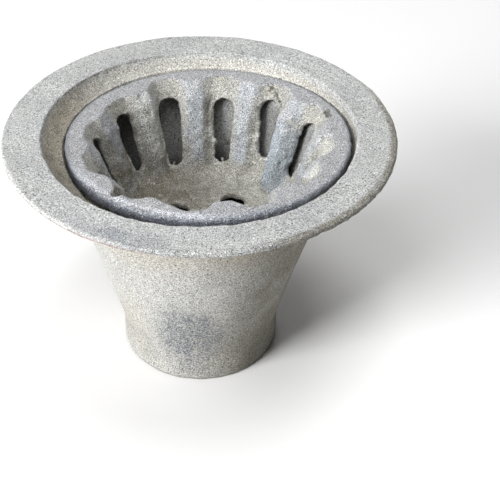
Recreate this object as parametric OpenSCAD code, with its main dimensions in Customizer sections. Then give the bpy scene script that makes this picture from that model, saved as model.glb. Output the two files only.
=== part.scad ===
// Cast-iron floor gully: a flanged funnel with a spigot, and a loose strainer basket that
// hangs by its ring in the funnel's recess. Millimetres, +Z up, origin at the centre of the
// spigot's lower end, on the body's axis.

/* [Body] */
// Height from the spigot's lower end to the flange's top face
body_height = 157; // [120:1:220]
// Outside diameter of the flange
flange_d = 230; // [215:1:280]
// Thickness of the flange at its edge
flange_t = 4.6; // [3.5:0.1:8]
// Mouth diameter of the recess that takes the strainer
recess_d = 183; // [165:1:196]
// Depth of the recess, from the flange's top face to the seat
recess_depth = 19; // [15:0.1:24]
// How much narrower the recess is at its seat, on each side
recess_draft = 1; // [0:0.1:2]
// Radius of the hollow corner between the recess wall and the seat
recess_fillet = 6; // [2:0.5:6]
// Width of the seat that the strainer's ring rests on
seat_w = 13.3; // [11:0.1:18]
// Wall thickness of the body casting
wall = 4; // [3:0.1:6]

/* [Spigot] */
// Outside diameter of the spigot that goes into the drain pipe
spigot_d = 101; // [75:0.5:115]
// Length of the straight spigot, up to where the funnel starts to open
spigot_l = 23; // [15:1:60]
// Radius of the hollow bend between spigot and funnel
spigot_bend = 30; // [5:1:50]

/* [Strainer ring] */
// Play between the ring and the recess mouth, on each side when centred
ring_play = 7.3; // [6.5:0.1:9]
// Thickness of the ring
ring_t = 8.6; // [5:0.1:12]
// Rounding of the ring's upper outer edge
ring_round = 3.4; // [0.5:0.1:4.5]

/* [Strainer bowl] */
// Depth of the bowl, from the ring's top face to the floor
bowl_depth = 57.5; // [45:0.5:80]
// Wall thickness of the bowl
bowl_wall = 3; // [2.5:0.1:4.5]
// Thickness of the bowl's floor
floor_t = 4; // [3:0.1:6]
// Free gap between bowl and funnel at the seat, on the side the strainer lies towards
mouth_gap = 0.7; // [0.5:0.1:4]
// Free gap between bowl and funnel at the floor, on the same side
foot_gap = 3.5; // [2.5:0.1:12]
// Number of flutes, each with one slot
flutes = 12; // [8:1:16]
// Direction of the first flute
flute_azimuth = 21.8; // [0:0.1:30]
// How far the ribs stand in from the flutes, at the ring
rib_top = 6; // [2:0.1:7]
// How far the ribs stand in from the flutes, where they run out at the floor
rib_foot = 3.4; // [1:0.1:5]
// How narrow the ribs are: 1 makes ribs and flutes equally wide
rib_power = 1.3; // [1:0.1:2]
// How much the flutes widen into the ring's top face
flare_w = 5.5; // [2:0.1:7]
// Height of that widening
flare_h = 7; // [4:0.1:10]
// Radius of the hollow corner between the bowl's wall and floor
floor_fillet = 12; // [4:0.5:16]

/* [Slots and drain holes] */
// Width of a slot at its upper end
slot_w_top = 12.5; // [6:0.1:14]
// Width of a slot at its lower end
slot_w_foot = 8.6; // [5:0.1:12]
// Depth of the slots' upper ends below the ring's top face
slot_top = 10.5; // [8:0.5:16]
// Height of the slots' lower ends above the floor
slot_foot = 6.5; // [5:0.5:16]
// Number of drain holes in the floor
drains = 3; // [1:1:5]
// Diameter of a drain hole
drain_d = 15.5; // [6:0.5:18]
// Diameter of the circle that the drain holes' centres lie on
drain_circle_d = 45; // [40:1:56]
// Direction of the first drain hole
drain_azimuth = 48; // [0:1:360]

/* [How the strainer lies] */
// Direction that the strainer has slid towards in the recess
lie_azimuth = 22; // [0:1:360]
// Gap left between the ring and the recess mouth on that side
lie_gap = 1.8; // [1.2:0.1:6]
// How much higher the ring lies on its raised side than on its low side
lie_lift = 6.4; // [0:0.1:7]
// Direction of the low side
low_azimuth = 105; // [0:1:360]
// Gap between the ring and what it lies on
rest_gap = 0.2; // [0.1:0.05:1]

/* [Hidden] */

turned_fn = 144;          // facets of the turned shapes on screen
hole_fn = 48;             // facets of the round holes and slot ends on screen
arc_steps = 6;            // chords in each rounded corner of a profile
flute_steps = 10;         // columns of the bowl's surface in each flute
cut = 1;                  // how far cutters run past what they cut
body_colour = [0.66, 0.65, 0.60];
basket_colour = [0.58, 0.59, 0.63];

// Body
flange_r = flange_d / 2;
recess_r = recess_d / 2;
seat_z = body_height - recess_depth;
seat_r = recess_r - recess_draft - seat_w;      // where the seat ends and the funnel starts
spigot_r = spigot_d / 2;
bore_r = spigot_r - wall;
cup_r = recess_r + wall;                        // outside of the recess
flange_round = flange_t * 0.36;                 // both edges of the flange's rim
lip_round = 1.6;                                // mouth of the recess
seat_round = 1.5;                               // inner edge of the seat
cup_round = 6;                                  // lower outer edge of the recess
cup_fillet = 2.5;                               // hollow corner between recess and flange
funnel_fillet = 4;                              // hollow corner between recess and funnel
spigot_round = 0.9;                             // both edges of the spigot's end
funnel_slope = (seat_r - bore_r) / (seat_z - spigot_l);
function funnel_r(z) = bore_r + (z - spigot_l) * funnel_slope;
funnel_wall = wall * sqrt(1 + funnel_slope * funnel_slope);   // the same wall, measured level

// Strainer, in its own frame: the ring's top face is z = 0
ring_r = recess_r - ring_play;
ring_foot_round = 1;      // lower outer edge of the ring
flare_round = 14;         // where the flutes bend into their wider mouths
bowl_bottom = bowl_depth + floor_t;
flute_pitch = 360 / flutes;

// How it lies
lie_shift = ring_play - lie_gap;
lie_tilt = asin(lie_lift / (2 * ring_r));
// Distance of the ring's edge from the body's axis, and its height over its lowest point
function edge_r(az) = norm([ring_r * cos(az) + lie_shift * cos(lie_azimuth),
                            ring_r * sin(az) + lie_shift * sin(lie_azimuth)]);
function edge_lift(az) = lie_lift * (1 - cos(az - low_azimuth)) / 2;
// Height at which the ring's rounded lower edge meets the recess's hollow corner
function corner_lift(r) =
    let (hollow = max(0.01, recess_fillet - ring_foot_round),
         inward = r - recess_r + recess_draft + hollow)
    hollow - sqrt(pow(hollow, 2) - pow(min(hollow, max(0, inward)), 2));
// How far the ring rides up that corner
ride_up = max([for (az = [0:5:355]) corner_lift(edge_r(az)) - edge_lift(az)]);

// Outside of the flutes at the ring's underside and at the floor's underside
foot_z = seat_z + ring_t - bowl_bottom;
mouth_out_r = seat_r - lie_shift - mouth_gap;
foot_out_r = funnel_r(foot_z) - lie_shift - foot_gap;
bowl_slope = (mouth_out_r - foot_out_r) / (bowl_bottom - ring_t);
bowl_lean = atan(bowl_slope);
bowl_wall_level = bowl_wall / cos(bowl_lean);
function bowl_out_r(z) = mouth_out_r + (z + ring_t) * bowl_slope;
function bowl_in_r(z) = bowl_out_r(z) - bowl_wall_level;
// Height over the floor in which the ribs run out
runout = floor_fillet * (1 - sin(bowl_lean));

// Rounded corner b of a profile that comes from a and goes on to c. The radius gives way
// where the sides are too short for it.
function corner(a, b, c, r) =
    let (u = (a - b) / norm(a - b),
         v = (c - b) / norm(c - b),
         half = acos(u * v) / 2,
         reach = 0.48 * min(norm(a - b), norm(c - b)),
         radius = min(r, reach * tan(half)),
         centre = b + (u + v) / norm(u + v) * radius / sin(half),
         p = b + u * radius / tan(half) - centre,
         q = b + v * radius / tan(half) - centre,
         start = atan2(p[1], p[0]),
         turn = atan2(p[0] * q[1] - p[1] * q[0], p * q))
    [for (i = [0:arc_steps])
        centre + radius * [cos(start + turn * i / arc_steps), sin(start + turn * i / arc_steps)]];

// Closed profile from corners [r, z, rounding]
function rounded(pts) =
    let (n = len(pts))
    [for (i = [0:n - 1])
        let (p = pts[i], a = pts[(i + n - 1) % n], c = pts[(i + 1) % n])
        each (p[2] > 0
            ? corner([a[0], a[1]], [p[0], p[1]], [c[0], c[1]], p[2])
            : [[p[0], p[1]]])];

// ---- Gully body: one casting, turned about its axis

function body_profile() = rounded([
    [bore_r, 0, spigot_round],
    [spigot_r, 0, spigot_round],
    [spigot_r, spigot_l, spigot_bend],
    [funnel_r(seat_z - wall) + funnel_wall, seat_z - wall, funnel_fillet],
    [cup_r, seat_z - wall, cup_round],
    [cup_r, body_height - flange_t, cup_fillet],
    [flange_r, body_height - flange_t, flange_round],
    [flange_r, body_height, flange_round],
    [recess_r, body_height, lip_round],
    [recess_r - recess_draft, seat_z, recess_fillet],
    [seat_r, seat_z, seat_round],
    [bore_r, spigot_l, spigot_bend],
]);

module gully_body()
    color(body_colour)
        rotate_extrude($fn = turned_fn)
            polygon(body_profile());

// ---- Strainer basket: one casting, a flat ring with a fluted, slotted bowl

module ring_plate()
    rotate_extrude($fn = turned_fn)
        polygon(rounded([
            [0, -ring_t, 0],
            [ring_r, -ring_t, ring_foot_round],
            [ring_r, 0, ring_round],
            [0, 0, 0],
        ]));

// Rib height at height z: full at the ring, less towards the floor, none on the floor
function rib_at(z) =
    let (down = min(1, max(0, -z / bowl_depth)),
         over = min(1, max(0, (z + bowl_depth) / runout)))
    (rib_top + (rib_foot - rib_top) * down) * sin(90 * over);

// 0 in the middle of a flute, 1 on the crest of a rib
function rib_wave(az) = pow((1 - cos(flutes * (az - flute_azimuth))) / 2, rib_power);

// Solid with flutes round it, lofted through level sections at the points [r, z] of a
// profile that runs from the top down
module fluted_solid(profile) {
    columns = flutes * flute_steps;
    rows = len(profile);
    points = [for (p = profile, k = [0:columns - 1])
        let (az = flute_azimuth + 360 * k / columns,
             r = p[0] - rib_at(p[1]) * rib_wave(az))
        [r * cos(az), r * sin(az), p[1]]];
    sides = [for (i = [0:rows - 2], k = [0:columns - 1])
        let (a = i * columns + k,
             b = i * columns + (k + 1) % columns)
        each [[a, b, b + columns], [a, b + columns, a + columns]]];
    top = [for (k = [columns - 1:-1:0]) k];
    bottom = [for (k = [0:columns - 1]) (rows - 1) * columns + k];
    polyhedron(points, concat([top], sides, [bottom]));
}

function bowl_outside() = concat(
    [[bowl_out_r(-ring_t / 2), -ring_t / 2]],
    corner([bowl_out_r(-ring_t / 2), -ring_t / 2], [bowl_out_r(-bowl_bottom), -bowl_bottom],
           [0, -bowl_bottom], floor_fillet + floor_t));

function bowl_inside() =
    let (mouth = [bowl_in_r(-flare_h) + flare_w, 0],
         neck = [bowl_in_r(-flare_h), -flare_h],
         foot = [bowl_in_r(-bowl_depth), -bowl_depth])
    concat([mouth + [0, cut], mouth],
           corner(mouth, neck, foot, flare_round),
           corner(neck, foot, [0, -bowl_depth], floor_fillet));

// Slot lying in the XY plane: round ends, the wide one at the origin, tapering towards -Y
module slot_outline(length) {
    top = slot_w_top / 2;
    foot = slot_w_foot / 2;
    side = asin((top - foot) / length);
    circle(top, $fn = hole_fn);
    translate([0, -length]) circle(foot, $fn = hole_fn);
    polygon([
        top * [cos(side), sin(side)],
        top * [-cos(side), sin(side)],
        [-foot * cos(side), foot * sin(side) - length],
        [foot * cos(side), foot * sin(side) - length],
    ]);
}

// One slot through the wall in the middle of each flute, square to the wall
module slots() {
    upper_z = -slot_top - slot_w_top / 2 * cos(bowl_lean);
    lower_z = -bowl_depth + slot_foot + slot_w_foot / 2 * cos(bowl_lean);
    for (k = [0:flutes - 1])
        rotate([0, 0, flute_azimuth + k * flute_pitch])
            translate([bowl_in_r(upper_z), 0, upper_z])
                rotate([0, bowl_lean, 0])
                    rotate([90, 0, 90])
                        translate([0, 0, -rib_top])
                            linear_extrude(2 * rib_top + bowl_wall)
                                slot_outline((upper_z - lower_z) / cos(bowl_lean));
}

module drain_holes()
    for (k = [0:drains - 1])
        rotate([0, 0, drain_azimuth + k * 360 / drains])
            translate([drain_circle_d / 2, 0, -bowl_bottom - cut])
                cylinder(h = floor_t + 2 * cut, d = drain_d, $fn = hole_fn);

// From the strainer's own frame to how it lies: slid to one side, and tipped about the low
// edge of its ring, which stays just above the seat or the hollow corner next to it
module lie_in_recess()
    translate([lie_shift * cos(lie_azimuth), lie_shift * sin(lie_azimuth),
               seat_z + ride_up + rest_gap])
        rotate([0, 0, low_azimuth])
            translate([ring_r, 0, 0])
                rotate([0, lie_tilt, 0])
                    translate([-ring_r, 0, ring_t])
                        rotate([0, 0, -low_azimuth])
                            children();

module strainer_basket()
    color(basket_colour)
        lie_in_recess()
            difference() {
                union() {
                    ring_plate();
                    fluted_solid(bowl_outside());
                }
                fluted_solid(bowl_inside());
                slots();
                drain_holes();
            }

gully_body();
strainer_basket();
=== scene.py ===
"""Looks of a cast-iron floor gully and its loose strainer basket, as raw sand castings.

Each casting is one dense mesh that stands for its solid and stays inside the solids' box: the
body is turned from its profile, and the strainer is the surface of a distance field. Lengths
are in millimetres until a mesh is made, and places round the axis are in degrees from +X.
"""
import math

import bpy
import numpy as np
from mathutils import Euler, Matrix, Vector


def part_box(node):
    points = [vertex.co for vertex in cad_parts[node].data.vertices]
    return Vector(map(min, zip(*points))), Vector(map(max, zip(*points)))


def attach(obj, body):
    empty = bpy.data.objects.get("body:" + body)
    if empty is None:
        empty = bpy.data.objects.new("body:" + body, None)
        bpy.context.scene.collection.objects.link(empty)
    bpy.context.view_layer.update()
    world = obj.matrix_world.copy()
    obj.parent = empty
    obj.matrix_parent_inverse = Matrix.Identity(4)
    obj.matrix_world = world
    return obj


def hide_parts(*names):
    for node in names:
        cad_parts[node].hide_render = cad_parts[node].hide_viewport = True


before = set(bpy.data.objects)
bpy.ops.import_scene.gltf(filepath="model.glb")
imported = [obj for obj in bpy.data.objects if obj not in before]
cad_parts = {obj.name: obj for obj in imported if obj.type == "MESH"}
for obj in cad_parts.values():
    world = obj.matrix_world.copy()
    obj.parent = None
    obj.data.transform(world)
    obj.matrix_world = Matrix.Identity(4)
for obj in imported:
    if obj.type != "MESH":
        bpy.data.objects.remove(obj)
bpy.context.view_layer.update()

MM = 0.001
body_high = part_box("gully_body")[1] / MM

# ---- The body, with the sizes of its solid

FLANGE_R = body_high.x
TOP_Z = body_high.z
FLANGE_T = 4.6
RECESS_R = 91.5
RECESS_DEPTH = 19.0
RECESS_DRAFT = 1.0
RECESS_LIP = 1.6             # rounding of the recess's upper edge
RECESS_FILLET = 6.0
SEAT_W = 13.3
WALL = 4.0
SPIGOT_R = 50.5
SPIGOT_L = 23.0
SPIGOT_BEND = 30.0           # radius of the bend from the funnel to the spigot
SEAT_Z = TOP_Z - RECESS_DEPTH
SEAT_R = RECESS_R - RECESS_DRAFT - SEAT_W
BORE_R = SPIGOT_R - WALL
CUP_R = RECESS_R + WALL
FUNNEL_SLOPE = (SEAT_R - BORE_R) / (SEAT_Z - SPIGOT_L)

# ---- Its recess wall, which is hollow where the solid's is plain

DISH_DEPTH = 8.0             # of the shelf round the ring, below the rounded lip
DISH_MORE = 4.0              # added to that depth at the front
DISH_SHARE = 0.6             # of the wall's rows that lie on the hollow above the shelf
DISH_GAP = 0.6               # between the shelf and the ring
DISH_LEAST_W = 0.3           # of the shelf where the ring comes closest

# ---- The strainer, in its own frame: the ring's top face is z = 0

RING_R = 84.2
RING_T = 8.6
BOWL_DEPTH = 57.5
FLOOR_T = 4.0
BOWL_WALL = 3.0
BOWL_FILLET = 11.0           # between the bowl's wall and floor, inside
FOOT_FILLET = 14.0           # and outside
FLARE_R = 5.5                # how far the bowl widens at its mouth
FLARE_H = 9.5                # over this height
LEAN = 17.74                 # degrees of the bowl's wall from upright
FLUTES = 12
FLUTE_AZ = 21.8
PITCH = 360 / FLUTES
GROOVE_R = 67.4              # inside of the flutes at GROOVE_Z
GROOVE_Z = -10.0
RIB_DROP = 1.75              # what a rib's inside radius at z = 0 has over its RIB_REACH
BIG_RIB_AZ = 36.6
CRACK_AZ = 56.4
HOLES = [(48, 22.5), (160, 21.5), (288, 22.5)]    # in the floor: degrees, distance from the axis
HOLE_R = 7.75

# ---- How the strainer lies in the recess

LIE_SHIFT = 5.5              # off centre, towards LIE_AZ
LIE_AZ = 22.0
LIE_TILT = 2.178             # degrees, down towards LOW_AZ
LOW_AZ = 105.0
LIE_Z = SEAT_Z + 0.36        # of the ring's underside, where it lies lowest

# ---- How the flutes differ, one value for each from the one at FLUTE_AZ on, or for the rib
# that follows it: how much further its head reaches out, the rib's inside radius, and the
# slot's upper and lower end (z), its widths there, and how far it is off to the side there

HEAD_REACH = [0.2, 0.9, -0.6, 1.6, -2.2, -1.8, 0.2, 0.8, 1.0, 1.2, -0.8, -1.6]
RIB_REACH = [68.3, 69.2, 68.6, 66.9, 69.0, 69.6, 69.5, 69.4, 66.6, 64.8, 66.8, 69.2]
SLOT_TOP = [-8.0, -7.5, -11.7, -9.3, -8.6, -7.5, -10.0, -11.0, -10.0, -9.0, -10.5, -10.0]
SLOT_FOOT = [-46.5, -43.5, -52.0, -52.2, -46.5, -48.0, -50.0, -51.0, -49.0, -50.5, -51.0, -50.0]
SLOT_W_TOP = [15.0, 14.5, 13.6, 15.6, 15.5, 11.6, 12.4, 12.6, 12.0, 12.8, 12.2, 12.4]
SLOT_W_FOOT = [5.6, 8.4, 9.6, 10.0, 7.2, 7.6, 8.6, 8.4, 8.8, 8.2, 8.6, 8.4]
SLOT_SIDE_TOP = [0.0, 0.9, -1.5, 0.3, 1.5, 0.4, 0.0, -0.3, 0.4, 0.0, -0.4, 0.3]
SLOT_SIDE_FOOT = [4.2, 0.1, -1.5, 0.0, -1.0, -0.6, 0.3, 0.0, -0.4, 0.4, 0.0, -0.3]

# ---- The strainer's flaws, as balls: degrees, distance from the axis, z, radius

BITE = [(229.2, 77.4, 0.3, 3.0), (229.0, 73.6, -1.0, 4.2), (233.0, 72.5, -1.0, 3.6),
        (227.8, 70.0, -3.5, 4.8), (230.5, 67.5, -7.0, 5.5)]
NICK = [(19.6, 76.6, 0.2, 1.6), (17.0, 76.4, 0.2, 1.7), (20.6, 78.2, 0.4, 1.3)]
LUMPS = [(49.0, 76.2, -0.9, 1.9), (58.6, 72.8, -2.0, 2.3), (54.2, 71.4, -6.6, 1.7),
         (47.0, 73.5, -1.6, 1.5), (85.5, 57.2, -38.0, 1.1), (84.6, 58.5, -40.5, 0.9),
         (143.6, 55.4, -45.2, 1.0), (105.6, 58.0, -37.5, 0.9), (51.5, 56.0, -44.0, 1.2)]

# ---- Slivers left at the feet of the slots: degrees, lowest z, highest z, radius

BURRS = [(110.4, -53, -48.2, 0.75), (113.6, -53, -50.0, 0.8), (79.8, -53, -49.8, 0.75),
         (83.6, -53, -51.0, 0.8), (140.2, -49, -44.4, 0.75), (143.6, -49, -46.2, 0.8),
         (106.6, -53, -50.5, 0.7), (54.2, -46, -42.2, 0.7)]
BURR_ROOT = 1.5              # how much deeper than its lowest z each one is rooted

# ---- Stains on the funnel: strength, (degrees, z), half widths, then how much of it is even
# and how much follows the middle and the fine noise

STAINS = [(1.25, (262, 42), (31, 40), 0.9, 0.25, 0.35),
          (0.35, (228, 20), (50, 20), 0.7, 0.4, 0),
          (0.5, (268, 4), (24, 18), 0.9, 0.3, 0)]

# ---- Meshes

BODY_POINTS = 99000          # at most, which makes twice as many triangles
ROWS_SEEN = 0.95             # between the body's rows on its top faces
ROWS_OUTSIDE = 1.55
ROWS_CUP = 1.9
ROWS_INSIDE = 4.5
STRAINER_GRID = 0.85         # cell of the distance field
STRAINER_TRIANGLES = 196000
PITS = 90                    # small round pits in the flange's top face

# ---- Stage, in metres, degrees and watts

FLOOR_HALF = 4.0
CAMERA_PLACE = (0, -0.5427, 0.5051)
CAMERA_DOWN = 38.98
CAMERA_ROLL = -0.39
CAMERA_LENS = 79.2
CAMERA_SHIFT = 0.1
LAMP_DISTANCE = 3.0
LAMP_SIZE = 1.3
LAMPS = [("key", 215, 25, 122.0), ("high", 235, 60, 27.0), ("top", 0, 85, 38.0),
         ("back", 90, 45, 14.0)]    # name, degrees, elevation, power


def noise(points, cell, seed):
    """Smooth noise of about -1 to 1 at each point, with features about one cell wide."""
    p = points / cell
    base = np.floor(p).astype(np.int64)
    f = p - base
    f = f * f * (3 - 2 * f)
    total = np.zeros(len(p))
    for corner in range(8):
        step = np.array([corner & 1, corner >> 1 & 1, corner >> 2 & 1])
        i = base + step
        h = i[:, 0] * 73856093 ^ i[:, 1] * 19349663 ^ i[:, 2] * 83492791 ^ seed * 2654435761
        h = (h ^ h >> 15) * 2246822519 & 0xFFFFFFFF
        h = (h ^ h >> 13) * 3266489917 & 0xFFFFFFFF
        value = ((h ^ h >> 16) & 0xFFFF) / 32767.5 - 1
        total += value * np.prod(np.where(step == 1, f, 1 - f), axis=1)
    return 1.5 * total


def ramp(value, low, high):
    """0 below low, 1 above high, and smooth between. low may be the larger one."""
    t = np.clip((value - low) / (high - low), 0, 1)
    return t * t * (3 - 2 * t)


def angle_from(az, centre):
    """Degrees from centre to az, -180 to 180."""
    return (az - centre + 180) % 360 - 180


def towards(az, centre, out, full):
    """1 within full degrees of centre, 0 beyond out degrees of it."""
    return ramp(np.abs(angle_from(az, centre)), out, full)


def polar(x, y):
    """Distance from the axis, and degrees round it."""
    return np.hypot(x, y), np.degrees(np.arctan2(y, x)) % 360


def patch(az, height, centre, size):
    """1 in the middle of an oval of half widths size, falling to 0 at its edge."""
    away = np.hypot(angle_from(az, centre[0]) / size[0], (height - centre[1]) / size[1])
    return ramp(away, 1, 0.25)


def facet(az, height, centre, size, ragged):
    """Like patch, but with a sharp and ragged edge."""
    away = np.hypot(angle_from(az, centre[0]) / size[0], (height - centre[1]) / size[1])
    return ramp(away + 0.3 * ragged, 1, 0.85)


def solid_object(name, points, faces):
    """Smooth-shaded object from points in millimetres."""
    mesh = bpy.data.meshes.new(name)
    mesh.from_pydata((points * MM).tolist(), [], faces.tolist())
    mesh.polygons.foreach_set("use_smooth", np.ones(len(mesh.polygons), bool))
    mesh.update()
    piece = bpy.data.objects.new(name, mesh)
    bpy.context.scene.collection.objects.link(piece)
    return piece


def mesh_points(piece):
    """The object's points in millimetres, while it still lies in its own frame."""
    co = np.empty(len(piece.data.vertices) * 3)
    piece.data.vertices.foreach_get("co", co)
    return co.reshape(-1, 3) / MM


def paint(piece, **zones):
    """Each zone becomes a float attribute, 0 to 1, that the material reads by its name."""
    for name, values in zones.items():
        layer = piece.data.attributes.new(name, "FLOAT", "POINT")
        layer.data.foreach_set("value", np.clip(values, 0, 1).astype(np.float32))


# ---- Gully body

def rounded(corners, steps=6):
    """Closed profile [r, z] from corners [r, z, rounding]."""
    out = []
    n = len(corners)
    for i, (_, _, radius) in enumerate(corners):
        a, b, c = (np.array(corners[k % n][:2]) for k in (i - 1, i, i + 1))
        u = (a - b) / np.linalg.norm(a - b)
        v = (c - b) / np.linalg.norm(c - b)
        half = math.acos(np.clip(u @ v, -1, 1)) / 2
        reach = 0.48 * min(np.linalg.norm(a - b), np.linalg.norm(c - b))
        radius = min(radius, reach * math.tan(half))
        centre = b + (u + v) / np.linalg.norm(u + v) * radius / math.sin(half)
        p = b + u * radius / math.tan(half) - centre
        q = b + v * radius / math.tan(half) - centre
        start = math.atan2(p[1], p[0])
        turn = math.atan2(p[0] * q[1] - p[1] * q[0], p @ q)
        for k in range(steps + 1):
            t = start + turn * k / steps
            out.append(centre + radius * np.array([math.cos(t), math.sin(t)]))
    return np.array(out)


def body_profile():
    """Closed profile of the body, from the spigot's foot up its outside and down its inside."""
    wall_level = WALL * math.sqrt(1 + FUNNEL_SLOPE ** 2)
    neck_z = SEAT_Z - WALL
    return rounded([
        [BORE_R, 0, 0.9],
        [SPIGOT_R, 0, 0.9],
        [SPIGOT_R, SPIGOT_L, SPIGOT_BEND],
        [BORE_R + (neck_z - SPIGOT_L) * FUNNEL_SLOPE + wall_level, neck_z, 4],
        [CUP_R, neck_z, 6],
        [CUP_R, TOP_Z - FLANGE_T, 2.5],
        [FLANGE_R, TOP_Z - FLANGE_T, 1.7],
        [FLANGE_R, TOP_Z, 1.7],
        [RECESS_R, TOP_Z, RECESS_LIP],
        [RECESS_R - RECESS_DRAFT, SEAT_Z, RECESS_FILLET],
        [SEAT_R, SEAT_Z, 1.5],
        [BORE_R, SPIGOT_L, SPIGOT_BEND],
    ])


def row_gap(r, z):
    """Distance between the mesh's rows: close where the casting is seen, wide inside."""
    if r > SEAT_R and z > TOP_Z - FLANGE_T or RECESS_R - 3 < r < RECESS_R and z > SEAT_Z + 3:
        return ROWS_SEEN
    if r > RECESS_R - 3 and z > SEAT_Z - WALL:
        return ROWS_CUP
    outside = r > BORE_R + max(0, z - SPIGOT_L) * FUNNEL_SLOPE + WALL / 2
    return ROWS_OUTSIDE if outside or z > SEAT_Z - 3 else ROWS_INSIDE


def divided(profile):
    """The same closed profile with points as close as row_gap asks."""
    out = []
    for a, b in zip(profile, np.roll(profile, -1, axis=0)):
        middle = (a + b) / 2
        parts = max(1, round(np.linalg.norm(b - a) / row_gap(*middle)))
        out += [a + (b - a) * k / parts for k in range(parts)]
    rows = np.array(out)
    far = np.linalg.norm(rows - np.roll(rows, 1, axis=0), axis=1) > 0.35
    return rows[far]


def dish(points):
    """The recess as cast: its wall is hollowed down to a shelf just outside the ring."""
    z = points[..., 2]
    r, az = polar(points[..., 0], points[..., 1])
    room = RECESS_R - RECESS_DRAFT - RING_R - LIE_SHIFT * np.cos(np.radians(az - LIE_AZ))
    width = np.maximum(room - DISH_GAP, DISH_LEAST_W)
    shelf = DISH_DEPTH + DISH_MORE * towards(az, 265, 75, 45)

    # How far down the wall a point is, over the hollow (t) and over the drop from the shelf
    down = (TOP_Z - RECESS_LIP - z) / (RECESS_DEPTH - RECESS_LIP)
    t = np.clip(down / DISH_SHARE, 0, 1)
    drop = np.clip((down - DISH_SHARE) / (1 - DISH_SHARE), 0, 1)
    foot = RECESS_R - RECESS_DRAFT - RECESS_FILLET - 1.5
    wall = (r > RECESS_R - RECESS_FILLET - 1.5) & (r < RECESS_R + 0.1) & (z > SEAT_Z - 0.1)
    wall &= down > 0
    seat = (r > SEAT_R) & (r < RECESS_R + 0.1) & (z > SEAT_Z - 2) & (z < SEAT_Z + 6) & ~wall

    inward = np.where(wall, width * (1.1 * t * (1 - t) + t * t), 0)
    inward = np.where(seat, width * np.clip((r - SEAT_R) / (foot - SEAT_R), 0, 1), inward)
    depth = shelf * (1.9 * t * (1 - t) + t * t) + (RECESS_DEPTH - RECESS_LIP - shelf) * drop
    height = np.where(wall, TOP_Z - RECESS_LIP - depth, z)
    scale = (r - inward) / r
    return np.stack([points[..., 0] * scale, points[..., 1] * scale, height], axis=-1)


def pits(points, centres, radius, depth):
    """How much each point sinks into small round pits."""
    sunk = np.zeros(len(points))
    for centre, r in zip(centres, radius):
        near = np.abs(points - centre).max(axis=1) < 3 * r
        d = np.linalg.norm(points[near] - centre, axis=1) / r
        sunk[near] += depth * r * np.exp(-d * d)
    return sunk


def body_relief(points, r, z, az):
    """Height of the cast skin over the even shape. It is never above 0."""
    rim = ramp(r, FLANGE_R - 2.5, FLANGE_R - 0.8)
    calm = 1 - 0.5 * rim * towards(az, 180, 95, 60)
    relief = 0.24 * noise(points, 22, 1) + 0.13 * noise(points, 7, 2) + 0.09 * noise(points, 3, 3)
    relief *= calm
    beads = 0.30 * noise(points, 1.9, 4) * rim * (0.2 + 0.7 * patch(az, z, (285, TOP_Z), (75, 30)))
    lip = ramp(np.hypot(r - RECESS_R, z - TOP_Z), 3, 0.5) * 0.28 * noise(points, 4.2, 5)
    rng = np.random.default_rng(11)
    place = rng.uniform(0, 2 * math.pi, PITS)
    reach = rng.uniform(RECESS_R + 2, FLANGE_R - 2, PITS)
    centres = np.stack([reach * np.cos(place), reach * np.sin(place), np.full(PITS, TOP_Z)], 1)
    sunk = pits(points, centres, rng.uniform(0.8, 1.7, PITS), 0.32)
    crust = 0.34 * noise(points, 2.6, 6) * ramp(r, RECESS_R + 1, RECESS_R - 0.5) * ramp(
        z, SEAT_Z - 1, SEAT_Z + 3) * (1 - 0.8 * towards(az, 60, 90, 40))
    return np.minimum(0, relief + beads + lip + crust - 0.46 - sunk)


def from_rim(r, z, drop):
    """Distance to the circle that lies drop below the flange's upper outer edge."""
    return np.hypot(r - FLANGE_R, z - TOP_Z + drop)


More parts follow.
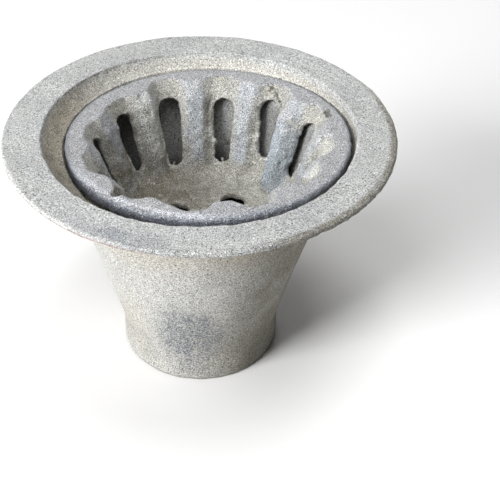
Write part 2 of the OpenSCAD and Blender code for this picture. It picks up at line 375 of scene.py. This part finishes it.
def paint_body(piece, points, r, z, az, relief):
    """Where each tone of the body's material lies."""
    low = noise(points, 30, 21)
    mid = noise(points, 11, 22)
    fine = noise(points, 4, 23)

    # The faces: funnel, recess and its deeper part, bore, and the flange's top
    outside = ramp(z, TOP_Z - FLANGE_T + 0.4, TOP_Z - FLANGE_T - 0.4) * ramp(
        r - BORE_R - np.maximum(0, z - SPIGOT_L) * FUNNEL_SLOPE, 1, 3)
    recess = ramp(r, RECESS_R + 0.3, RECESS_R - 0.8) * ramp(z, SEAT_Z - 4, SEAT_Z - 1)
    deep = ramp(z, TOP_Z - 10.5, TOP_Z - 13)
    inside = 1 - np.maximum(outside, ramp(z, SEAT_Z - 6, SEAT_Z - 2))
    top = (1 - outside) * (1 - recess) * (1 - inside)
    high = ramp(z, 70, 148)
    left = towards(az, 192, 95, 40)
    right = towards(az, 45, 60, 30)

    # Brown sand in the recess and high on the funnel
    sand = recess * (0.15 + 0.7 * left + 0.22 * mid + 0.6 * deep) * (1 - 0.8 * right)
    sand += outside * (0.4 + 0.7 * high * high + 0.2 * low)
    sand += 0.06 * (1 + low) * (1 - outside) * (1 - recess)

    # Blue-grey: stains on the funnel, and clouds on the flange's top
    stain = sum(strength * patch(az, z, centre, size) * (even + of_mid * mid + of_fine * fine)
                for strength, centre, size, even, of_mid, of_fine in STAINS)
    stain *= outside
    blue = top * (0.10 + 0.35 * low + 0.2 * mid)
    blue += top * 0.8 * patch(az, r, (246, 110), (30, 12)) * (0.7 + 0.4 * mid)

    # The rim: pale where it is rubbed, rough and darker at the right, where that dark is partly
    # painted shade, rusty at its lower edge
    rim = ramp(from_rim(r, z, 0), 4.5, 0.8)
    rounded_rim = ramp(from_rim(r, z, 1), 5.6, 2.4)
    rough = ramp(from_rim(r, z, 2), 5.0, 2.5) * (
        0.35 + 0.65 * patch(az, z, (295, TOP_Z), (70, 30)))
    # Rough dark grains in the left of the recess and on the right of the rounded rim, partly
    # painted shade there
    rough += 0.35 * recess * left + 0.5 * rounded_rim * towards(az, 330, 50, 28)
    pale = rim * (0.05 + 0.2 * fine + 0.3 * patch(az, z, (215, TOP_Z), (60, 40)))
    # Painted light: paler under the flange at the front, where its shadow falls, and high on the
    # recess's back wall, which faces the lamps
    pale += 0.35 * outside * ramp(z, 118, 150) * towards(az, 262, 62, 35)
    pale += recess * (1 - deep) * towards(az, 75, 90, 50) * 0.7
    edge = ramp(from_rim(r, z, FLANGE_T), 2.6, 0.7)
    rust = edge * (patch(az, z, (235, TOP_Z), (30, 30)) + patch(az, z, (140, TOP_Z), (36, 30)))
    rust *= 0.5 + 0.6 * mid

    # Dirt with painted shade, darker at the right of the funnel and rim, which face away from the
    # lamps, and in the left and front of the recess, where its wall casts shade
    dirt = outside * towards(az, 338, 78, 20) * (0.9 + 0.2 * mid)
    dirt += 0.5 * outside * towards(az, 356, 34, 8) * ramp(z, 148, 130)
    dirt += 1.1 * rounded_rim * towards(az, 335, 56, 32) * (0.9 + 0.5 * fine)
    dirt += 0.34 * recess * left * ramp(fine + 0.5 * mid, 0.0, 0.8)
    dirt += 0.45 * recess * towards(az, 230, 50, 25) * (0.8 + 0.3 * mid)

    # The bore: painted shade, less of it high at the back where light reaches in, and darkest
    # below
    soot = inside * (1 - 0.6 * ramp(z, 94, 110) * towards(az, 105, 60, 10)) * (
        0.6 + 0.3 * low + 0.45 * towards(az, 45, 50, 25))
    # The hollow zone is painted shade, darkening the skin's deepest sunk places
    paint(piece, dirt=dirt, sand=sand, stain=stain, blue=blue, pale=pale, rust=rust,
          hollow=ramp(-relief, 0.8, 1.5), rough=rough, unlit=inside * ramp(z, 99, 82), soot=soot)


def make_body():
    rows = divided(body_profile())
    columns = 2 * (BODY_POINTS // (2 * len(rows)))
    turn = np.arange(columns) * 2 * math.pi / columns
    points = dish(np.stack([
        rows[:, None, 0] * np.cos(turn), rows[:, None, 0] * np.sin(turn),
        np.broadcast_to(rows[:, None, 1], (len(rows), columns))], axis=-1))
    across = np.roll(points, -1, axis=0) - np.roll(points, 1, axis=0)
    around = np.roll(points, -1, axis=1) - np.roll(points, 1, axis=1)
    outward = np.cross(around, across).reshape(-1, 3)
    outward /= np.linalg.norm(outward, axis=1)[:, None]
    points = points.reshape(-1, 3)
    r, az = polar(points[:, 0], points[:, 1])
    z = points[:, 2]
    relief = body_relief(points, r, z, az)
    i, k = np.meshgrid(np.arange(len(rows)), np.arange(columns), indexing="ij")
    i2, k2 = (i + 1) % len(rows), (k + 1) % columns
    faces = np.stack([i * columns + k, i * columns + k2, i2 * columns + k2, i2 * columns + k],
                     axis=-1).reshape(-1, 4)
    piece = solid_object("body_casting", points + outward * relief[:, None], faces)
    paint_body(piece, points, r, z, az, relief)
    return piece


# ---- Strainer basket, as a distance field in its own frame

def smooth_least(a, b, k):
    """The smaller of two distances, blended where they are less than k apart."""
    h = np.clip(0.5 + 0.5 * (b - a) / k, 0, 1)
    return b + (a - b) * h - k * h * (1 - h)


def smooth_most(a, b, k):
    return -smooth_least(-a, -b, k)


def rounded_most(a, b, radius):
    """The larger of two distances, with the edge between them rounded."""
    u = np.maximum(a + radius, 0)
    v = np.maximum(b + radius, 0)
    return np.where((u > 0) & (v > 0), np.hypot(u, v) - radius, np.maximum(a, b))


def flute_of(az):
    """Number of the flute at az, and degrees from its middle."""
    turned = (az - FLUTE_AZ + PITCH / 2) % 360
    number = np.minimum((turned // PITCH).astype(int), FLUTES - 1)
    return number, turned - PITCH / 2 - number * PITCH


def of_flute(values, number):
    return np.asarray(values, float)[number]


def big_rib(az, z):
    """How far the one thick rib stands out over a common one."""
    down = np.clip(-z / BOWL_DEPTH, 0, 1)
    swell = towards(az, BIG_RIB_AZ, 9.5, 3.5) * np.clip(-z / 9, 0, 1) * (3.8 + 3.8 * down)
    return swell * np.sqrt(np.clip((z + BOWL_DEPTH) / 7, 0, 1))


def flare(z):
    """How far the bowl's wall leans out at its mouth."""
    return FLARE_R * np.clip((z + FLARE_H) / FLARE_H, 0, 1.2) ** 1.25


def bowl_radius(az, z):
    """Inside radius of the bowl, without its thick rib."""
    slope = math.tan(math.radians(LEAN))
    number, phase = flute_of(az)
    groove = GROOVE_R + (z - GROOVE_Z) * slope
    top = np.clip(1 + z / 24, 0, 1)
    head = of_flute(HEAD_REACH, number) * top * top
    rib_number = np.where(phase > 0, number, number - 1)
    mouth = GROOVE_R - GROOVE_Z * slope + FLARE_R - RIB_DROP
    tall = mouth - of_flute(RIB_REACH, rib_number)
    down = np.clip(-z / BOWL_DEPTH, 0, 1)
    fade = np.clip((z + BOWL_DEPTH) / 8.4, 0, 1)
    rib = (tall * (1 - down) + 3.4 * down) * np.sin(fade * math.pi / 2)
    wave = ramp(np.abs(phase), 3.8, 12.4)
    return groove + flare(z) + head * (1 - wave) - rib * wave


def slot_field(rho, side, z, number):
    """Distance to the slot of each point's own flute, measured in the wall."""
    lean = math.radians(LEAN)
    along = (rho - GROOVE_R) * math.sin(lean) + (z - GROOVE_Z) * math.cos(lean)
    w_top = of_flute(SLOT_W_TOP, number) / 2
    w_foot = of_flute(SLOT_W_FOOT, number) / 2
    top = (of_flute(SLOT_TOP, number) - GROOVE_Z) / math.cos(lean) - w_top
    foot = (of_flute(SLOT_FOOT, number) - GROOVE_Z) / math.cos(lean) + w_foot
    t = np.clip((top - along) / (top - foot), 0, 1)
    middle = of_flute(SLOT_SIDE_TOP, number) * (1 - t) + of_flute(SLOT_SIDE_FOOT, number) * t
    return np.hypot(side - middle, along - top + t * (top - foot)) - (w_top * (1 - t) + w_foot * t)


def blob(p, az, r, z, size):
    """Distance to a ball at a place round the bowl."""
    a = math.radians(az)
    return np.linalg.norm(p - np.array([r * math.cos(a), r * math.sin(a), z]), axis=1) - size


def spike(p, az, low, high, size):
    """Distance to an upright sliver of iron in the bowl's wall."""
    a = math.radians(az)
    r = GROOVE_R + 1.0 + (low - GROOVE_Z) * math.tan(math.radians(LEAN))
    z = np.clip(p[:, 2], low - BURR_ROOT, high)
    core = np.stack([np.full(len(p), r * math.cos(a)), np.full(len(p), r * math.sin(a)), z], 1)
    return np.linalg.norm(p - core, axis=1) - size


def crack_field(az, r, z, lumps):
    """Distance to the crack down the head of the second flute."""
    across = np.radians(angle_from(az, CRACK_AZ + 1.1 * z)) * r + lumps
    return np.maximum(np.maximum(np.abs(across) - 0.55, -z - 9), r - 76)


def bowl_cavity(az, r, z, coarse, lumps):
    """Distance to the room inside the bowl, negative in it."""
    inner = bowl_radius(az, z) - big_rib(az, z) + 0.4 * coarse
    inner += (0.35 + 0.45 * ramp(z, -7, -1)) * lumps
    return rounded_most((r - inner) * math.cos(math.radians(LEAN)), -BOWL_DEPTH - z, BOWL_FILLET)


def bowl_outside(az, r, z):
    """Distance to the bowl as if it were full, negative in it."""
    lean = math.radians(LEAN)
    under = np.minimum(z, -RING_T / 2)
    straight = r - bowl_radius(az, under) + flare(under)
    outer = (straight - BOWL_WALL / math.cos(lean)) * math.cos(lean)
    outer = rounded_most(outer, -BOWL_DEPTH - FLOOR_T - z, FOOT_FILLET)
    return np.maximum(outer, z + RING_T / 2)


def ring_disc(az, r, z):
    """Distance to the ring as if it were full, a little inside its solid and worn at the front."""
    worn = 1.3 + 1.0 * towards(az, 265, 80, 50)
    worn += 2.2 * towards(az, 238, 36, 14)
    edge = np.where(z > -RING_T / 2, worn, 1.0)
    return rounded_most(r - RING_R + 0.15, np.abs(z + RING_T / 2) - RING_T / 2, edge)


def flawed(skin, p, az, r, z, lumps, grit):
    """The skin with what broke off, the crack, and the lumps and slivers left by casting."""
    for place in BITE:
        skin = smooth_most(skin, -(blob(p, *place) + 0.9 * grit), 0.5)
    for place in NICK:
        skin = smooth_most(skin, -(blob(p, *place) + 0.3 * grit), 0.4)
    crack = np.maximum(crack_field(az, r, z, lumps), r - bowl_radius(az, z) - 1.4)
    skin = smooth_most(skin, -crack, 0.3)
    for place in LUMPS:
        skin = smooth_least(skin, blob(p, *place) + 1.1 * grit, 0.5)
    for place in BURRS:
        skin = smooth_least(skin, spike(p, *place) + 0.2 * grit, 0.5)
    return skin


def strainer_field(p):
    """Distance to the strainer's skin, negative inside it."""
    x, y, z = p.T
    r, az = polar(x, y)
    number, phase = flute_of(az)
    side = r * np.sin(np.radians(phase))
    rho = r * np.cos(np.radians(phase))
    coarse = noise(p, 15, 31)
    lumps = noise(p, 6, 32)
    grit = noise(p, 2.6, 33)

    cavity = bowl_cavity(az, r, z, coarse, lumps)
    skin = smooth_least(ring_disc(az, r, z), bowl_outside(az, r, z), 1.6)
    skin = smooth_most(skin, -cavity, 0.5)

    # Slots, with a rim of flash round each. They reach less deep into the ring than below it
    slot = slot_field(rho, side, z, number) + 0.45 * lumps + 0.75 * grit
    flash = np.exp(-((slot - 1.0) / 0.9) ** 2) * ramp(z, -3, -8) * (0.6 + 0.8 * noise(p, 7, 34))
    deep = cavity - np.where(z > -11, 7.5, 14)
    skin = smooth_most(skin - 0.8 * flash, -np.maximum(slot, deep), 0.5)
    for hole_az, reach in HOLES:
        a = math.radians(hole_az)
        hole = np.hypot(x - reach * math.cos(a), y - reach * math.sin(a)) - HOLE_R
        skin = smooth_most(skin, -np.where(z < -50, hole + 0.15 * lumps, 9), 0.7)

    skin = flawed(skin, p, az, r, z, lumps, grit)
    rough = np.where(z > -1.2, 0.35, 1.0)
    return skin + (0.24 * lumps + 0.3 * grit) * rough + 0.08


def surface_net(field, low, gap):
    """Points and four-sided faces where the field crosses zero, one point for each cell."""
    inside = field < 0
    shape = np.array(field.shape) - 1
    corners = [np.array([c & 1, c >> 1 & 1, c >> 2 & 1]) for c in range(8)]

    def at(values, c):
        return values[c[0]:c[0] + shape[0], c[1]:c[1] + shape[1], c[2]:c[2] + shape[2]]

    filled = sum(at(inside, c).astype(np.int8) for c in corners)
    cells = np.argwhere((filled > 0) & (filled < 8))
    number = np.full(shape, -1)
    number[tuple(cells.T)] = np.arange(len(cells))
    total = np.zeros((len(cells), 3))
    crossings = np.zeros(len(cells))
    for a in corners:
        for axis in range(3):
            if a[axis]:
                continue
            b = a.copy()
            b[axis] = 1
            fa = field[tuple((cells + a).T)]
            fb = field[tuple((cells + b).T)]
            cut = (fa < 0) != (fb < 0)
            t = fa[cut] / (fa[cut] - fb[cut])
            total[cut] += a + t[:, None] * (b - a)
            crossings[cut] += 1
    points = low + gap * (cells + total / crossings[:, None])

    faces = []
    step = np.eye(3, dtype=int)
    for axis in range(3):
        u, v = (axis + 1) % 3, (axis + 2) % 3
        ahead = np.roll(inside, -1, axis=axis)
        edges = np.argwhere(inside != ahead)
        edges = edges[(edges[:, axis] < shape[axis]) & (edges[:, u] > 0) & (edges[:, v] > 0)]
        ring = [edges - step[u] - step[v], edges - step[v], edges, edges - step[u]]
        quad = np.stack([number[tuple(c.T)] for c in ring], axis=1)
        out = inside[tuple(edges.T)]
        faces.append(np.where(out[:, None], quad, quad[:, ::-1]))
    return points, np.concatenate(faces)


def largest_shell(points, faces):
    """The mesh without crumbs and bubbles: its most faces joined by edges that two share."""
    ends = np.sort(np.stack([faces, np.roll(faces, -1, axis=1)], axis=2).reshape(-1, 2), axis=1)
    keys = ends[:, 0] * len(points) + ends[:, 1]
    order = np.argsort(keys, kind="stable")
    same = keys[order][1:] == keys[order][:-1]
    alone = same & ~np.append(same[1:], False) & ~np.insert(same[:-1], 0, False)
    pairs = np.stack([order[:-1][alone], order[1:][alone]], axis=1) // 4
    shell = np.arange(len(faces))
    while True:
        before = shell.copy()
        least = np.minimum(before[pairs[:, 0]], before[pairs[:, 1]])
        for side in (0, 1):
            np.minimum.at(shell, before[pairs[:, side]], least)
        shell = shell[shell]
        if np.array_equal(before, shell):
            break
    faces = faces[shell == np.bincount(shell).argmax()]
    kept = np.zeros(len(points), bool)
    kept[faces] = True
    return points[kept], (np.cumsum(kept) - 1)[faces]


def strainer_grid(gap):
    """The field on a grid. Far from the skin a rough distance is enough."""
    low = np.array([-RING_R - 2.0, -RING_R - 2.0, -BOWL_DEPTH - FLOOR_T - 2.0])
    size = np.ceil((np.array([RING_R, RING_R, 0]) + 2.0 - low) / gap).astype(int) + 1
    coarse = 4
    rough_size = -(-size // coarse) + 1

    def places(index, step):
        return low + gap * step * index

    index = np.indices(rough_size).reshape(3, -1).T
    rough = strainer_field(places(index, coarse)).reshape(rough_size)
    near = np.abs(rough) < 2.2 * coarse * gap
    near = near.repeat(coarse, 0).repeat(coarse, 1).repeat(coarse, 2)
    shift = coarse // 2
    near = np.pad(near, shift)[:size[0], :size[1], :size[2]]
    field = rough.repeat(coarse, 0).repeat(coarse, 1).repeat(coarse, 2)
    field = np.pad(field, shift, mode="edge")[:size[0], :size[1], :size[2]]
    index = np.argwhere(near)
    field[tuple(index.T)] = strainer_field(places(index, 1))
    return field, low


def lie_matrix():
    """From the strainer's own frame to how it lies in the recess."""
    slide = Matrix.Translation((LIE_SHIFT * math.cos(math.radians(LIE_AZ)),
                                LIE_SHIFT * math.sin(math.radians(LIE_AZ)), LIE_Z))
    face = Matrix.Rotation(math.radians(LOW_AZ), 4, "Z")
    tip = Matrix.Rotation(math.radians(LIE_TILT), 4, "Y")
    return (slide @ face @ Matrix.Translation((RING_R, 0, 0)) @ tip
            @ Matrix.Translation((-RING_R, 0, RING_T)) @ face.inverted())


def thinned(piece, triangles):
    """The same object with at most that many triangles."""
    quads = len(piece.data.polygons)
    thin = piece.modifiers.new("thin", "DECIMATE")
    thin.ratio = min(1.0, triangles / (2 * quads))
    mesh = bpy.data.meshes.new_from_object(
        piece.evaluated_get(bpy.context.evaluated_depsgraph_get()))
    piece.modifiers.clear()
    old = piece.data
    piece.data = mesh
    bpy.data.meshes.remove(old)
    mesh.name = piece.name
    mesh.polygons.foreach_set("use_smooth", np.ones(len(mesh.polygons), bool))
    return piece


def paint_strainer(piece, p):
    """Where each tone of the strainer's material lies."""
    x, y, z = p.T
    r, az = polar(x, y)
    number, phase = flute_of(az)
    low = noise(p, 22, 41)
    mid = noise(p, 8, 42)
    fine = noise(p, 3.4, 43)
    bite = np.min([blob(p, *place) for place in BITE], axis=0)
    nick = np.min([blob(p, *place) for place in NICK], axis=0)

    # The faces: ring's top and outer edge, bowl, its inside, flutes, floor and thick rib
    top = ramp(z, -1.0, -0.3)
    bowl = 1 - top
    edge = ramp(r, RING_R - 2.8, RING_R - 1.2)
    inner = ramp(r - bowl_radius(az, z), 2.6, 2.1)
    groove = ramp(np.abs(phase) + 2.5 * mid, 11.5, 6.5)
    floor = ramp(z, -BOWL_DEPTH + 12, -BOWL_DEPTH + 3)
    thick = towards(az, 36.9, 10.5, 8.5) * ramp(z, -6, -18) * ramp(z, -57, -55)

    # Sand in the flutes and on the floor, and on the broken places of the ring's inner edge
    sand = bowl * np.maximum(groove * (0.75 + 0.3 * mid), floor * (0.85 + 0.2 * low))
    sand *= 1 - 0.9 * thick
    chip = towards(az, 55, 7, 4) * ramp(r, 69, 71) * ramp(r, 80, 78)
    chip = np.maximum(chip, towards(az, 229, 5, 2) * ramp(r, 72, 74))
    sand = np.maximum(sand, 0.8 * chip * bowl)
    blue = bowl * (1 - groove) * (1 - floor) * (0.6 + 0.3 * low)

    # Dirt with painted shade on the floor, low at the left and in the bite, and painted shade on
    # one flank of each rib
    dirt = bowl * floor * (0.15 + 0.6 * ramp(x, 0, -35) + 0.3 * low + 0.2 * mid)
    dirt = np.maximum(dirt, bowl * ramp(z, -14, -38) * ramp(x, -18, -40) * (0.75 + 0.35 * mid))
    dirt += 0.4 * bowl * ramp(phase, 4, 8) * ramp(phase, 14, 10) * ramp(z, -9, -16) * (1 + mid)
    dirt *= 1 - thick
    dirt = np.maximum(dirt, ramp(bite, 2.0, 1.0) * ramp(z, -0.4, -1.2) * (0.9 + 0.4 * fine))

    # Painted shade, dark in the crack and the nick, and a painted highlight along the rounded edge
    # at the front
    crack = 0.85 * ramp(crack_field(az, r, z, noise(p, 6, 32)), 0.45, 0.0)
    crack = np.maximum(crack, 0.9 * ramp(nick, 0.8, 0.2))
    shine = ramp(r, RING_R - 5.2, RING_R - 4.2) * ramp(z, -1.6, -0.7)
    shine *= towards(az, 238, 46, 22) * (0.8 + 0.3 * fine)

    # Pale grains, slot rims and patches, with painted light on one rib at the back and on the
    # right of the floor
    side = r * np.sin(np.radians(phase))
    slot = slot_field(r * np.cos(np.radians(phase)), side, z, number)
    rim = bowl * np.exp(-((slot - 0.7) / 1.0) ** 2) * inner * (0.35 + 0.4 * mid + 0.5 * fine)
    pale = bowl * ramp(fine + 0.4 * mid, 0.5, 1.1) * 0.35 + np.clip(rim, 0, 0.7)
    pale += bowl * (1.0 * patch(az, z, (127, -22), (12, 30)) + 0.3 * floor * ramp(x, -15, 15))
    pale += bowl * ramp(z, -9, -7) * (0.8 * facet(az, r, (327, 68), (8.5, 5.5), mid)
                                      + 0.7 * facet(az, r, (350, 69), (10, 6), mid))
    pale *= 1 - 0.8 * thick * ramp(z, -12, -26)

    # The last zone here is painted shade: dark on the bowl's outside, deep in the gully, but not
    # on the ring's lower edge
    paint(piece, sand=sand, blue=blue, edge=edge, dirt=dirt, shade=edge * ramp(z, -1.8, -3.6),
          crack=crack, shine=shine, slate=thick * (0.9 + 0.1 * mid) * ramp(z, -4, -28),
          ring=top * (0.85 + 0.2 * mid), pale=pale,
          soot=bowl * (1 - inner) * (1 - edge * ramp(z, -RING_T + 0.3, -RING_T + 1.5)))


def make_strainer():
    field, low = strainer_grid(STRAINER_GRID)
    points, faces = largest_shell(*surface_net(field, low, STRAINER_GRID))
    piece = thinned(solid_object("strainer_casting", points, faces), STRAINER_TRIANGLES)
    paint_strainer(piece, mesh_points(piece))
    piece.data.transform(Matrix.Scale(MM, 4) @ lie_matrix() @ Matrix.Scale(1 / MM, 4))
    return piece


# ---- Materials

def new_material(name):
    material = bpy.data.materials.new(name)
    material.use_nodes = True
    tree = material.node_tree
    return material, tree, tree.nodes["Principled BSDF"]


def connect(tree, socket, value):
    """Joins a socket to another one, or sets it to a number or a colour."""
    if isinstance(value, bpy.types.NodeSocket):
        tree.links.new(value, socket)
    elif isinstance(value, tuple):
        socket.default_value = (*value, 1.0)[:4]
    else:
        socket.default_value = value


def blend_colour(tree, factor, a, b, mode="MIX"):
    node = tree.nodes.new("ShaderNodeMix")
    node.data_type = "RGBA"
    node.blend_type = mode
    connect(tree, node.inputs["Factor"], factor)
    connect(tree, node.inputs["A"], a)
    connect(tree, node.inputs["B"], b)
    return node.outputs["Result"]


def maths(tree, operation, a, b, clamp=False):
    node = tree.nodes.new("ShaderNodeMath")
    node.operation = operation
    node.use_clamp = clamp
    connect(tree, node.inputs[0], a)
    connect(tree, node.inputs[1], b)
    return node.outputs[0]


def zone(tree, name):
    """How far a point is in a zone that paint() stored."""
    node = tree.nodes.new("ShaderNodeAttribute")
    node.attribute_name = name
    return node.outputs["Fac"]


def grain(tree, size, detail=2.0, roughness=0.5):
    """Noise with features of a size in millimetres, 0 to 1."""
    place = tree.nodes.new("ShaderNodeTexCoord")
    node = tree.nodes.new("ShaderNodeTexNoise")
    node.inputs["Scale"].default_value = 1 / (size * MM)
    node.inputs["Detail"].default_value = detail
    node.inputs["Roughness"].default_value = roughness
    tree.links.new(place.outputs["Object"], node.inputs["Vector"])
    return node.outputs["Fac"]


def stretch(tree, value, low, high, to_low=0.0, to_high=1.0):
    """Maps low to to_low and high to to_high."""
    node = tree.nodes.new("ShaderNodeMapRange")
    node.inputs["From Min"].default_value = low
    node.inputs["From Max"].default_value = high
    node.inputs["To Min"].default_value = to_low
    node.inputs["To Max"].default_value = to_high
    tree.links.new(value, node.inputs["Value"])
    return node.outputs["Result"]


def creases(tree, size):
    """0 on thin winding lines between grains of a size in millimetres, 1 away from them."""
    off = maths(tree, "SUBTRACT", grain(tree, size, 1.0), 0.5)
    return stretch(tree, maths(tree, "ABSOLUTE", off, 0), 0.0, 0.055)


def coated(tree, colour, coats):
    """Tones laid over a colour one after another, each in the zone of its name."""
    for name, tone in coats.items():
        colour = blend_colour(tree, zone(tree, name), colour, tone)
    return colour


def speckled(tree, colour, dark, light, size):
    """Light grains of sand-cast iron over a colour, with dark creases and pits between."""
    shade = stretch(tree, grain(tree, size, 3.0, 0.75), 0.36, 0.64, 1 - dark, 1 + light)
    colour = blend_colour(tree, 1.0, colour, shade, "MULTIPLY")
    crease = stretch(tree, creases(tree, 2.2 * size), 0, 1, 0.66, 1.05)
    colour = blend_colour(tree, 1.0, colour, crease, "MULTIPLY")
    pit = stretch(tree, grain(tree, 1.6 * size, 1.0), 0.36, 0.27, 0.0, 0.7)
    return blend_colour(tree, pit, colour, (0.07, 0.07, 0.07))


def dotted(tree, colour, spacing, tone):
    """Small dots of another tone, some of them stronger than others."""
    place = tree.nodes.new("ShaderNodeTexCoord")
    cells = tree.nodes.new("ShaderNodeTexVoronoi")
    cells.inputs["Scale"].default_value = 1 / (spacing * MM)
    tree.links.new(place.outputs["Object"], cells.inputs["Vector"])
    dot = stretch(tree, cells.outputs["Distance"], 0.20, 0.11)
    some = stretch(tree, grain(tree, 2 * spacing), 0.42, 0.58, 0.2, 0.95)
    return blend_colour(tree, maths(tree, "MULTIPLY", dot, some), colour, tone)


def gritty(tree, shader, size, depth, coarse):
    """Bump of fine grains over coarser ones, depths in millimetres."""
    fine = tree.nodes.new("ShaderNodeBump")
    fine.inputs["Distance"].default_value = depth * MM
    tree.links.new(grain(tree, size, 2.0, 0.6), fine.inputs["Height"])
    wide = tree.nodes.new("ShaderNodeBump")
    wide.inputs["Distance"].default_value = coarse * MM
    tree.links.new(creases(tree, 2.2 * size), wide.inputs["Height"])
    tree.links.new(wide.outputs["Normal"], fine.inputs["Normal"])
    tree.links.new(fine.outputs["Normal"], shader.inputs["Normal"])


def body_iron():
    """Grey sand-cast iron, brown with sand and dirt in places, with painted shade in its dirt,
    hollows and inside, painted light under the flange and in the recess, and dark dots and
    creases.
    """
    material, tree, shader = new_material("body_iron")
    colour = blend_colour(tree, stretch(tree, grain(tree, 14, 3.0), 0.3, 0.7),
                          (0.485, 0.496, 0.495), (0.55, 0.558, 0.553))
    # The dirt tone also stands for painted shade
    colour = coated(tree, colour, {"blue": (0.357, 0.372, 0.395), "sand": (0.46, 0.422, 0.345),
                                   "dirt": (0.235, 0.222, 0.185)})
    worn = maths(tree, "MULTIPLY", zone(tree, "stain"),
                 stretch(tree, grain(tree, 1.1, 2.0, 0.7), 0.38, 0.56, 1.15, 0.25), True)
    colour = blend_colour(tree, worn, colour, (0.135, 0.152, 0.178))
    # Painted shade in the hollow, deep and unlit zones, and painted light among the pale tones
    colour = coated(tree, colour, {"hollow": (0.228, 0.228, 0.220), "pale": (0.64, 0.635, 0.605),
                                   "rust": (0.380, 0.182, 0.129), "soot": (0.17, 0.17, 0.166),
                                   "unlit": (0.05, 0.05, 0.047)})
    colour = dotted(tree, speckled(tree, colour, 0.62, 0.55, 0.75), 3.4, (0.09, 0.088, 0.08))
    # Dark creases in the rough zone, partly painted shade in the left of the recess and at the
    # right of the rim
    gap = maths(tree, "SUBTRACT", 1.0, creases(tree, 1.5))
    colour = blend_colour(tree, maths(tree, "MULTIPLY", gap, zone(tree, "rough"), True), colour,
                          (0.08, 0.08, 0.075))
    connect(tree, shader.inputs["Base Color"], colour)
    shader.inputs["Roughness"].default_value = 0.85
    shader.inputs["Specular IOR Level"].default_value = 0.25
    gritty(tree, shader, 0.8, 0.24, 0.16)
    return material


def basket_iron():
    """The same iron, bluer and glossier, with whitish dots and a rubbed dark edge, painted shade
    low on it, in the crack, with the dirt and deep in the gully, and painted light and a painted
    highlight in places.
    """
    material, tree, shader = new_material("basket_iron")
    colour = blend_colour(tree, stretch(tree, grain(tree, 9, 3.0), 0.3, 0.7),
                          (0.37, 0.375, 0.38), (0.45, 0.45, 0.45))
    # The dirt, crack and deepest tones here are partly painted shade, the pale tone partly painted
    # light, and the highlight tone is painted
    colour = coated(tree, colour, {"blue": (0.41, 0.437, 0.472), "slate": (0.34, 0.385, 0.425),
                                   "sand": (0.395, 0.383, 0.335), "dirt": (0.20, 0.18, 0.14),
                                   "ring": (0.375, 0.38, 0.395), "pale": (0.570, 0.570, 0.532),
                                   "edge": (0.25, 0.267, 0.305), "shade": (0.145, 0.157, 0.19),
                                   "shine": (0.56, 0.575, 0.62), "crack": (0.10, 0.095, 0.08),
                                   "soot": (0.167, 0.167, 0.160)})
    colour = dotted(tree, speckled(tree, colour, 0.8, 0.85, 0.65), 2.3, (0.78, 0.77, 0.72))
    connect(tree, shader.inputs["Base Color"], colour)
    connect(tree, shader.inputs["Roughness"], stretch(tree, zone(tree, "edge"), 0, 1, 0.65, 0.33))
    shader.inputs["Specular IOR Level"].default_value = 0.5
    gritty(tree, shader, 0.8, 0.48, 0.3)
    return material


def floor_paper():
    """Plain white paper."""
    material, _, shader = new_material("floor_paper")
    shader.inputs["Base Color"].default_value = (0.9, 0.9, 0.9, 1)
    shader.inputs["Roughness"].default_value = 0.9
    shader.inputs["Specular IOR Level"].default_value = 0.1
    return material


# ---- Stage

def make_floor():
    h = FLOOR_HALF
    mesh = bpy.data.meshes.new("floor")
    mesh.from_pydata([(-h, -h, 0), (h, -h, 0), (h, h, 0), (-h, h, 0)], [], [(0, 1, 2, 3)])
    floor = bpy.data.objects.new("floor", mesh)
    floor.data.materials.append(floor_paper())
    bpy.context.scene.collection.objects.link(floor)


def make_camera():
    """At the photograph's angle, from the front."""
    lens = bpy.data.cameras.new("camera")
    lens.lens = CAMERA_LENS
    lens.shift_x = CAMERA_SHIFT
    camera = bpy.data.objects.new("camera", lens)
    look_down = Euler((math.radians(90 - CAMERA_DOWN), 0, 0)).to_matrix().to_4x4()
    roll = Matrix.Rotation(math.radians(CAMERA_ROLL), 4, "Z")
    camera.matrix_world = Matrix.Translation(CAMERA_PLACE) @ look_down @ roll
    bpy.context.scene.collection.objects.link(camera)
    bpy.context.scene.camera = camera


def make_lamp(name, az, elevation, power):
    """A soft lamp that faces the middle of the body from that direction."""
    lamp = bpy.data.lights.new(name, "AREA")
    lamp.size = LAMP_SIZE
    lamp.energy = power
    turn, rise = math.radians(az), math.radians(elevation)
    away = Vector((math.cos(turn) * math.cos(rise), math.sin(turn) * math.cos(rise),
                   math.sin(rise)))
    holder = bpy.data.objects.new(name, lamp)
    holder.location = away * LAMP_DISTANCE + Vector((0, 0, TOP_Z * MM / 2))
    holder.rotation_euler = away.to_track_quat("Z", "Y").to_euler()
    bpy.context.scene.collection.objects.link(holder)


def make_world():
    """White where the camera, a gloss or a clear surface sees it. It lights nothing."""
    world = bpy.data.worlds.new("world")
    world.use_nodes = True
    tree = world.node_tree
    path = tree.nodes.new("ShaderNodeLightPath")
    seen = maths(tree, "MAXIMUM", path.outputs["Is Camera Ray"], path.outputs["Is Glossy Ray"])
    seen = maths(tree, "MAXIMUM", seen, path.outputs["Is Transmission Ray"])
    background = tree.nodes["Background"]
    background.inputs["Color"].default_value = (1, 1, 1, 1)
    connect(tree, background.inputs["Strength"], seen)
    bpy.context.scene.world = world


make_camera()
make_world()
for lamp in LAMPS:
    make_lamp(*lamp)
make_floor()
bpy.context.scene.view_settings.view_transform = "Standard"

for make, material, node, slot in (
        (make_body, body_iron, "gully_body", "body_iron"),
        (make_strainer, basket_iron, "strainer_basket", "basket_iron")):
    piece = make()
    piece.data.materials.append(material())
    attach(piece, "root")
    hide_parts(node)
